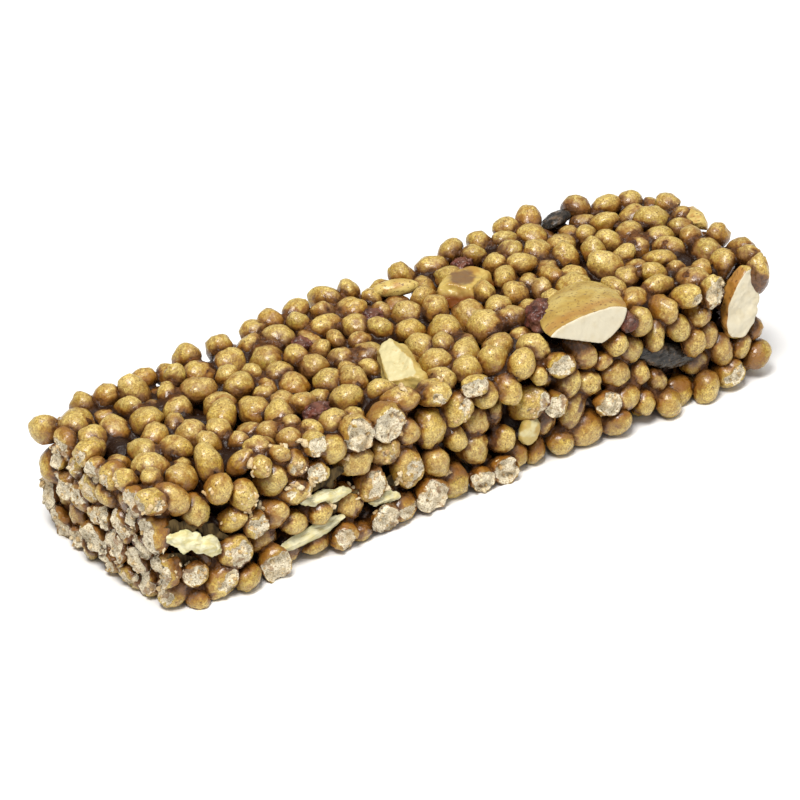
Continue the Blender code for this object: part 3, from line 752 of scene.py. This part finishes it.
def fine_shape(piece, voxel):
    """A set-in piece's shape with small, even faces: points, faces and normals in its own millimetres."""
    mesh = bpy.data.meshes.new("fine")
    bm = piece.shape(piece.half)
    bm.to_mesh(mesh)
    bm.free()
    obj = new_object("fine", mesh)
    remesh = obj.modifiers.new("remesh", "REMESH")
    remesh.mode = "VOXEL"
    remesh.voxel_size = voxel
    smooth = obj.modifiers.new("smooth", "SMOOTH")
    smooth.iterations = 5
    bpy.context.view_layer.update()
    made = bpy.data.meshes.new_from_object(obj.evaluated_get(bpy.context.evaluated_depsgraph_get()))
    made.calc_loop_triangles()
    bpy.data.objects.remove(obj)

    def threes(items, key, kind=float):
        values = np.empty(3 * len(items), kind)
        items.foreach_get(key, values)
        return values.reshape(-1, 3)
    faces = threes(made.loop_triangles, "vertices", int)
    return threes(made.vertices, "co"), faces, threes(made.vertex_normals, "vector")


def facing(normals, direction, low=0.55, high=0.8):
    """How much each normal looks in a direction."""
    direction = np.array(direction) / np.linalg.norm(direction)
    return smooth_step(low, high, normals @ direction)


# A piece's marks are three columns, whose meaning its own material knows.

def almond_half_marks(points, normals, half):
    """Its cut, a brown band and rim beside the cut, and its pale patches."""
    angle = math.radians(ALMOND_TURN)
    forward = np.array((-math.sin(angle), -math.cos(angle), 0.08))
    beyond = points @ forward - 0.55 * half[1]
    cut = smooth_step(-0.26, -0.14, beyond + 0.08 * noise(points * 0.9))
    band = np.exp(-((beyond + 1.7 + 0.8 * noise(points * 0.45)) / 1.3) ** 2) * facing(normals, (0, 0, 1))
    rim = np.exp(-((beyond + 0.35) / 0.3) ** 2)
    return cut, np.maximum(0.8 * band, 0.5 * rim), smooth_step(0.4, 0.9, noise(points * 0.5) + 0.4)


def almond_end_marks(points, normals, half):
    """Its cut, and the browner skin beside it."""
    return facing(normals, (-0.1, -1, 0.05), 0.5, 0.85), facing(normals, (-1, 0.1, -0.1), 0.3, 0.7), 0


def chunk_marks(points, normals, half):
    """Its cream-coloured head."""
    return facing(normals, (-0.22, 0.05, 1), 0.86, 0.96), 0, 0


def wedge_marks(points, normals, half):
    """The syrup's patch on its head, and its dark flanks."""
    low = smooth_step(1.3, -0.4, points[:, 2] + 0.5 * noise(points * 0.8)) * (1 - facing(normals, (0, 0, 1)))
    patch = np.exp(-(points[:, 0] / (0.55 * half[0])) ** 2 - ((points[:, 1] - 0.5) / (0.6 * half[1])) ** 2)
    return patch * facing(normals, (0, 0, 1), 0.8, 0.95), low, 0


def plain_marks(points, normals, half):
    """Scattered patches."""
    return smooth_step(0.0, 0.6, layered(points * 0.6)), 0, 0


def shard_marks(points, normals, half):
    """Its greener edges, and patches of film."""
    edge = smooth_step(0.5, 0.95, np.abs(points[:, 1]) / half[1] + 0.25 * noise(points * 1.2))
    return edge, smooth_step(0.25, 0.6, layered(points * 0.7 + 5)), 0


# Each set-in piece's material, how high and wide its roughness is, its marks and how fine its faces are.
Finish = namedtuple("Finish", "material high wide marks voxel", defaults=(plain_marks, 0.14))
FINISHES = {
    "almond_half": Finish("almond", 0.05, 0.9, almond_half_marks, 0.16),
    "almond_end": Finish("almond", 0.26, 0.6, almond_end_marks, 0.16),
    "nut_chunk": Finish("nut", 0.34, 0.55, chunk_marks, 0.16),
    "almond_glazed": Finish("caramel", 0.22, 0.6, wedge_marks, 0.16),
    "nut_sliver": Finish("sliver", 0.06, 0.9),
    "nut_far": Finish("sliver", 0.12, 0.8),
    "nut_front": Finish("nut", 0.12, 0.8),
    "seed_front": Finish("hull", 0.14, 1.1, voxel=0.16),
    "seed_back": Finish("hull", 0.14, 1.1, voxel=0.16),
    "shard_near": Finish("kernel", 0.24, 0.9, shard_marks, 0.12),
    "shard_middle": Finish("kernel", 0.3, 0.8, shard_marks, 0.12),
    "shard_long": Finish("kernel", 0.10, 1.2, shard_marks, 0.12),
    "shard_foot": Finish("kernel", 0.26, 0.8, shard_marks, 0.12),
    **{f"fruit_{k}": Finish("fruit", 0.3, 0.9, voxel=0.13) for k in range(1, 7)},
}
KERNEL_FIBRES = np.array((0.55, 1.2, 1.7))     # how fine a kernel's roughness is along its three sides


def roughness_of(points, finish):
    """How far each place stands out: wrinkled fruit, fibrous kernels, and soft bumps elsewhere."""
    if finish.material == "fruit":
        return 1 - 2 * np.abs(noise(points * finish.wide)) - np.abs(noise(points * 2.1))
    if finish.material == "kernel":
        fibres = points * KERNEL_FIBRES
        return 1.7 * np.abs(noise(fibres * finish.wide)) + 0.7 * np.abs(noise(fibres * 2.3)) - 0.6
    return layered(points * finish.wide)


def draw_set_in():
    """Each set-in piece in place of its solid."""
    for name, finish in FINISHES.items():
        piece = PIECES[name]
        points, faces, normals = fine_shape(piece, finish.voxel)
        rough = roughness_of(points + 17.0 * len(name), finish)
        columns = finish.marks(points, normals, piece.half)
        marks = np.stack([np.broadcast_to(column, len(points)) for column in columns], -1)
        points = points + normals * (finish.high * rough)[:, None]
        matrix = np.array(placing(piece))
        points = points @ matrix[:3, :3].T + matrix[:3, 3]
        new_piece(name + "_dressed", points, faces, finish.material, marks, stands_for=[name])


# ------ Materials ------

def linear(red, green, blue):
    """A colour that is given as it looks, 0 to 255, in the shader's own terms."""
    shares = [((c / 255 + 0.055) / 1.055) ** 2.4 if c > 10 else c / 255 / 12.92 for c in (red, green, blue)]
    return (*shares, 1)


class Shading:
    """A material's nodes, made a call each. Textures are scaled per millimetre, colours run to 255."""

    def __init__(self, name):
        self.material = bpy.data.materials.new(name)
        self.material.use_nodes = True
        self.tree = self.material.node_tree
        self.shader = self.tree.nodes["Principled BSDF"]
        self.place = self.add("TexCoord").outputs["Object"]

    def add(self, kind, settings=(), **inputs):
        """A node; its inputs are given by name, or as i0, i1 and so on by number."""
        made = self.tree.nodes.new("ShaderNode" + kind)
        for key, value in dict(settings).items():
            setattr(made, key, value)
        for key, value in inputs.items():
            self.put(made.inputs[int(key[1:])] if key[1:].isdigit() else made.inputs[key], value)
        return made

    def put(self, socket, value):
        if isinstance(value, bpy.types.NodeSocket):
            self.tree.links.new(value, socket)
        else:
            socket.default_value = value

    def attribute(self, name):
        return self.add("Attribute", {"attribute_name": name}).outputs["Color"]

    def marks(self):
        return self.add("SeparateColor", Color=self.attribute("mark")).outputs

    def noise(self, per_mm, detail=2.0, distortion=0.0, stretch=None, roughness=0.5):
        place = self.place
        if stretch:
            place = self.add("Mapping", Vector=place, Scale=stretch).outputs[0]
        inputs = {"Scale": per_mm / MM, "Detail": detail, "Distortion": distortion, "Roughness": roughness}
        return self.add("TexNoise", Vector=place, **inputs).outputs["Fac"]

    def cells(self, per_mm):
        return self.add("TexVoronoi", Vector=self.place, Scale=per_mm / MM).outputs["Distance"]

    def times(self, a, b):
        return self.add("Math", {"operation": "MULTIPLY"}, i0=a, i1=b).outputs[0]

    def plus(self, a, b):
        return self.add("Math", {"operation": "ADD"}, i0=a, i1=b).outputs[0]

    def step(self, value, low, high, to_low=0.0, to_high=1.0):
        """The value from low to high, made smooth and spread from to_low to to_high."""
        smooth = {"interpolation_type": "SMOOTHSTEP"}
        return self.add("MapRange", smooth, i0=value, i1=low, i2=high, i3=to_low, i4=to_high).outputs[0]

    def mix(self, factor, a, b):
        """From colour a to colour b."""
        a, b = (linear(*c) if isinstance(c, tuple) else c for c in (a, b))
        return self.add("Mix", {"data_type": "RGBA"}, i0=factor, i6=a, i7=b).outputs[2]

    def blend(self, factor, a, b):
        """From value a to value b."""
        return self.add("Mix", {"data_type": "FLOAT"}, i0=factor, i2=a, i3=b).outputs[0]

    def over(self, factor, colour):
        """Lay a colour over what is there, as far as the factor says."""
        self.colour = self.mix(factor, self.colour, colour)

    def patches(self, low, high, share, *noise):
        """How far a layer covers that lies where noise is high: up to the share."""
        return self.step(self.noise(*noise), low, high, 0, share)

    def finish(self, roughness, height, distance, **fixed):
        """Join the nodes to the shader; distance is the bump's full height in millimetres."""
        bump = self.add("Bump", Height=height, Distance=distance * MM)
        self.put(self.shader.inputs["Base Color"], self.colour)
        self.put(self.shader.inputs["Roughness"], roughness)
        self.put(self.shader.inputs["Normal"], bump.outputs[0])
        for key, value in fixed.items():
            self.shader.inputs[key.replace("_", " ")].default_value = value
        return self.material


def crisp_material():
    s = Shading("crisp")
    syrup_and_shade, cut, crest_light = s.marks()
    mottle = s.noise(1.1, 4, 0.5)

    # The glazed skin: pale at the crest as a painted highlight, brown on the flanks as painted shade, with
    # its own patches, streaks, grain and specks.
    high = s.plus(crest_light, s.step(mottle, 0.3, 0.7, -0.22, 0.22))
    s.colour = s.mix(s.step(high, 0.55, 1.1, 0, 0.7), s.attribute("tint"), (228, 206, 126))
    s.over(s.step(high, 0.70, 0.05, 0, 0.9), (134, 87, 28))
    s.over(s.patches(0.52, 0.74, 0.6, 0.45, 3, 0.6), (148, 96, 30))
    streaks = s.noise(1.9, 4, 0.9, roughness=0.65)
    s.over(s.step(streaks, 0.40, 0.60, 0.5, 0), (136, 88, 26))
    s.over(s.step(s.noise(4.6, 3), 0.36, 0.58, 0.5, 0), (108, 70, 20))
    specks = s.times(s.step(s.noise(3.4, 1.5), 0.62, 0.69), s.step(s.noise(0.5, 1), 0.38, 0.55))
    s.over(s.times(specks, 0.85), (84, 52, 22))

    # Syrup on it: a stain at first, then pooled where it stands deep; in the crevices and on the flanks the
    # darkening is also painted shade.
    wet_and_shade = s.plus(syrup_and_shade, s.step(mottle, 0.3, 0.7, 0.14, -0.14))
    stain = s.mix(s.step(s.noise(0.25, 2), 0.45, 0.6), (138, 88, 26), (124, 86, 50))
    s.over(s.step(wet_and_shade, 0.15, 0.75, 0, 0.85), stain)
    pooled_and_shaded = s.mix(s.step(s.noise(1.4, 4, 0.8), 0.38, 0.62), (60, 33, 12), (100, 63, 27))
    s.over(s.step(wet_and_shade, 0.50, 0.95, 0, 0.9), pooled_and_shaded)

    # The cut: pale crumb with darker pores, warm patches and smears of syrup.
    grit = s.noise(4.5, 3)
    crumb = s.mix(s.step(grit, 0.3, 0.6), (176, 157, 120), (234, 223, 196))
    crumb = s.mix(s.patches(0.58, 0.70, 0.75, 1.7, 3), crumb, (112, 84, 48))
    crumb = s.mix(s.patches(0.5, 0.75, 0.5, 0.35, 2), crumb, (190, 162, 112))
    crumb = s.mix(s.patches(0.57, 0.66, 0.7, 0.42, 4, 0.8), crumb, (138, 96, 50))
    bare = s.step(s.plus(cut, s.step(s.noise(2.0, 3), 0.3, 0.7, -0.3, 0.3)), 0.35, 0.75)
    s.over(bare, crumb)

    glaze = s.step(s.noise(1.2, 2), 0.3, 0.7, 0.24, 0.56)
    roughness = s.blend(bare, s.blend(s.step(wet_and_shade, 0.4, 0.9), glaze, 0.2), 0.9)
    cut_height = s.plus(s.times(grit, 0.5), s.times(s.cells(2.3), 0.35))
    height = s.blend(bare, s.times(s.noise(1.3, 4), 0.9), cut_height)
    return s.finish(roughness, height, 0.3, Specular_IOR_Level=0.4, Coat_Weight=0.35, Coat_Roughness=0.14)


def syrup_material():
    s = Shading("syrup")
    deep, thick, _ = s.marks()
    s.colour = s.mix(s.step(s.noise(0.35, 2), 0.45, 0.65), (98, 58, 19), (104, 68, 38))
    s.over(s.step(s.noise(1.4, 4, 0.8), 0.38, 0.62, 0.85, 0), (58, 31, 10))
    s.over(s.step(thick, 0.0, 0.7, 0, 0.8), (50, 26, 9))
    # Painted shade: the syrup is darker the deeper it lies inside the bar.
    s.over(s.step(deep, 0.1, 0.8, 0, 0.9), (32, 16, 6))
    roughness = s.step(s.noise(1.0, 2), 0.3, 0.7, 0.2, 0.5)
    return s.finish(roughness, s.noise(1.2, 4), 0.45, Specular_IOR_Level=0.25)


def crumb_material():
    s = Shading("crumb")
    toasted = s.marks()[0]
    grit = s.noise(4.0, 2)
    s.colour = s.mix(toasted, (224, 208, 172), (190, 156, 100))
    s.over(s.step(grit, 0.5, 0.7, 0, 0.6), (130, 100, 62))
    return s.finish(0.85, grit, 0.1)


def almond_material():
    s = Shading("almond")
    cut, band, pale = s.marks()
    ridges = s.noise(0.45, 4, 0.3)
    s.colour = s.mix(s.step(ridges, 0.35, 0.7), (186, 160, 84), (166, 134, 60))
    s.over(s.times(pale, 0.4), (208, 190, 122))
    s.over(s.times(band, 0.8), (158, 104, 44))
    s.over(s.patches(0.60, 0.66, 0.8, 2.4, 2), (104, 66, 32))
    flesh = s.mix(s.patches(0.4, 0.7, 0.6, 0.5, 2), (208, 199, 174), (198, 184, 150))
    edge = s.step(s.plus(cut, s.step(s.noise(1.4, 3), 0.3, 0.7, -0.08, 0.08)), 0.35, 0.65)
    s.over(edge, flesh)
    height = s.blend(edge, ridges, s.times(s.noise(2.5, 2), 0.3))
    return s.finish(s.blend(edge, 0.28, 0.5), height, 0.12)


def nut_material():
    s = Shading("nut")
    cream = s.marks()[0]
    bumps = s.noise(1.2, 3)
    s.colour = s.mix(s.step(s.noise(0.5, 2), 0.35, 0.7), (190, 168, 98), (172, 142, 68))
    s.over(cream, (200, 188, 140))
    s.over(s.step(bumps, 0.6, 0.72, 0, 0.5), (180, 142, 70))
    return s.finish(0.42, bumps, 0.15)


def caramel_material():
    s = Shading("caramel")
    flat, low, _ = s.marks()
    s.colour = s.mix(s.step(s.noise(0.5, 2), 0.4, 0.65), (198, 172, 94), (168, 130, 58))
    s.over(low, (120, 66, 24))
    s.over(s.step(s.plus(flat, s.noise(0.6, 2)), 0.7, 1.2, 0, 0.9), (112, 80, 54))
    return s.finish(0.24, s.noise(1.0, 3), 0.1)


def sliver_material():
    s = Shading("sliver")
    dark = s.marks()[0]
    s.colour = s.mix(s.times(dark, 0.5), (200, 176, 102), (168, 132, 64))
    s.over(s.patches(0.5, 0.62, 0.55, 0.5, 2), (168, 112, 52))
    s.over(s.patches(0.6, 0.66, 0.8, 2.6, 2), (104, 66, 34))
    return s.finish(0.3, s.noise(1.0, 3, 0.0, (0.4, 1, 1)), 0.08)


def hull_material():
    s = Shading("hull")
    ribs = s.noise(1.6, 3, 0.3, (0.35, 1, 1))
    s.colour = s.mix(s.step(ribs, 0.4, 0.7), (28, 24, 20), (62, 54, 44))
    s.over(s.patches(0.56, 0.70, 0.7, 0.7, 3), (112, 90, 68))
    return s.finish(s.step(s.noise(1.1, 2), 0.3, 0.7, 0.12, 0.4), ribs, 0.25)


def film_material():
    s = Shading("film")
    folds = s.noise(1.2, 3, 0.4, (1, 1, 0.4))
    s.colour = s.mix(s.step(folds, 0.35, 0.65), (50, 39, 22), (98, 80, 48))
    return s.finish(0.6, folds, 0.15, Specular_IOR_Level=0.1)


def kernel_material():
    s = Shading("kernel")
    edge, film, _ = s.marks()
    fibres = s.noise(1.6, 3, 0.2, (0.4, 1, 1))
    s.colour = s.mix(s.step(fibres, 0.35, 0.7), (222, 217, 180), (206, 194, 134))
    s.over(s.times(edge, 0.5), (184, 184, 120))
    s.over(s.times(film, 0.3), (112, 112, 76))
    return s.finish(0.45, fibres, 0.15)


def fruit_material():
    s = Shading("fruit")
    pale = s.marks()[0]
    s.colour = s.mix(s.step(s.noise(0.8, 3), 0.35, 0.65), (54, 26, 20), (106, 58, 44))
    s.over(s.times(pale, 0.4), (128, 88, 68))
    return s.finish(0.32, s.noise(1.8, 3), 0.2, Specular_IOR_Level=0.4)


materials = {
    "crisp": crisp_material(), "syrup": syrup_material(), "crumb": crumb_material(),
    "almond": almond_material(), "nut": nut_material(), "caramel": caramel_material(),
    "sliver": sliver_material(), "hull": hull_material(), "kernel": kernel_material(),
    "film": film_material(), "fruit": fruit_material(),
}

crisp_surface = draw_crisps()
draw_syrup()
draw_crumbs(crisp_surface)
draw_films()
draw_set_in()

# ------ Floor, light and camera ------

FLOOR_HALF = 1.5
FLOOR_GREY = 0.88
# Square lamps: azimuth (0 in front, 90 beyond the +X end) and elevation in degrees, distance and size
# in metres, watts and colour.
LAMPS = {
    "key": (-45, 64, 0.8, 0.28, 6.8, (1, 0.98, 0.95)),
    "top": (60, 75, 0.9, 0.5, 2.4, (1, 1, 1)),
    "fill": (10, 25, 1.0, 0.7, 1.0, (1, 1, 1)),
}
SKY_STRENGTH = 0.36


def direction(azimuth, elevation):
    """The way from the bar towards an azimuth and an elevation in degrees."""
    a, e = math.radians(azimuth), math.radians(elevation)
    return Vector((math.sin(a) * math.cos(e), -math.cos(a) * math.cos(e), math.sin(e)))


def stage():
    """A plain, pale floor."""
    mesh = bpy.data.meshes.new("floor")
    ends = (-FLOOR_HALF, FLOOR_HALF)
    mesh.from_pydata([(x, y, 0) for x in ends for y in ends], [], [(0, 2, 3, 1)])
    material = bpy.data.materials.new("floor")
    material.use_nodes = True
    shader = material.node_tree.nodes["Principled BSDF"]
    shader.inputs["Base Color"].default_value = (FLOOR_GREY, FLOOR_GREY, FLOOR_GREY, 1)
    shader.inputs["Roughness"].default_value = 0.9
    mesh.materials.append(material)
    floor = new_object("floor", mesh)


def light():
    """The lamps, which all look at the bar, and an even sky."""
    for name, (azimuth, elevation, distance, size, watts, colour) in LAMPS.items():
        out = direction(azimuth, elevation)
        data = bpy.data.lights.new(name, "AREA")
        data.size = size
        data.energy = watts
        data.color = colour
        lamp = new_object(name, data)
        lamp.location = out * distance + Vector((0, 0, 0.01))
        lamp.rotation_euler = out.to_track_quat("Z", "Y").to_euler()
    world = bpy.data.worlds.new("world")
    bpy.context.scene.world = world
    world.use_nodes = True
    background = world.node_tree.nodes["Background"]
    background.inputs["Color"].default_value = (1, 1, 1, 1)
    background.inputs["Strength"].default_value = SKY_STRENGTH
    bpy.context.scene.view_settings.view_transform = "Standard"


# The camera: what it looks at in the block's millimetres, its angles in degrees and its distance.
CAMERA_AIM = (0.6, -0.3, 10.35)
CAMERA_AZIMUTH, CAMERA_ELEVATION, CAMERA_ROLL = -32.58, 28.88, -3.82
CAMERA_DISTANCE = 597.4
CAMERA_LENS, CAMERA_SENSOR = 180, 36
CAMERA_SHIFT = (-0.01875, -0.01375)


def camera():
    """The camera, rolled about the way that it looks."""
    back = direction(CAMERA_AZIMUTH, CAMERA_ELEVATION)
    r = math.radians(CAMERA_ROLL)
    right = Vector((0, 0, 1)).cross(back).normalized()
    up = back.cross(right)
    rolled = math.cos(r) * right + math.sin(r) * up
    upright = math.cos(r) * up - math.sin(r) * right
    data = bpy.data.cameras.new("camera")
    data.lens, data.sensor_width = CAMERA_LENS, CAMERA_SENSOR
    data.shift_x, data.shift_y = CAMERA_SHIFT
    data.clip_start, data.clip_end = 0.01, 10
    made = new_object("camera", data)
    aim = Vector((CAMERA_AIM[0] - MIDDLE[0], CAMERA_AIM[1] - MIDDLE[1], CAMERA_AIM[2]))
    matrix = Matrix((rolled, upright, back)).transposed().to_4x4()
    matrix.translation = (aim + back * CAMERA_DISTANCE) * MM
    made.matrix_world = matrix
    bpy.context.scene.camera = made


stage()
light()
camera()

bpy.context.view_layer.update()
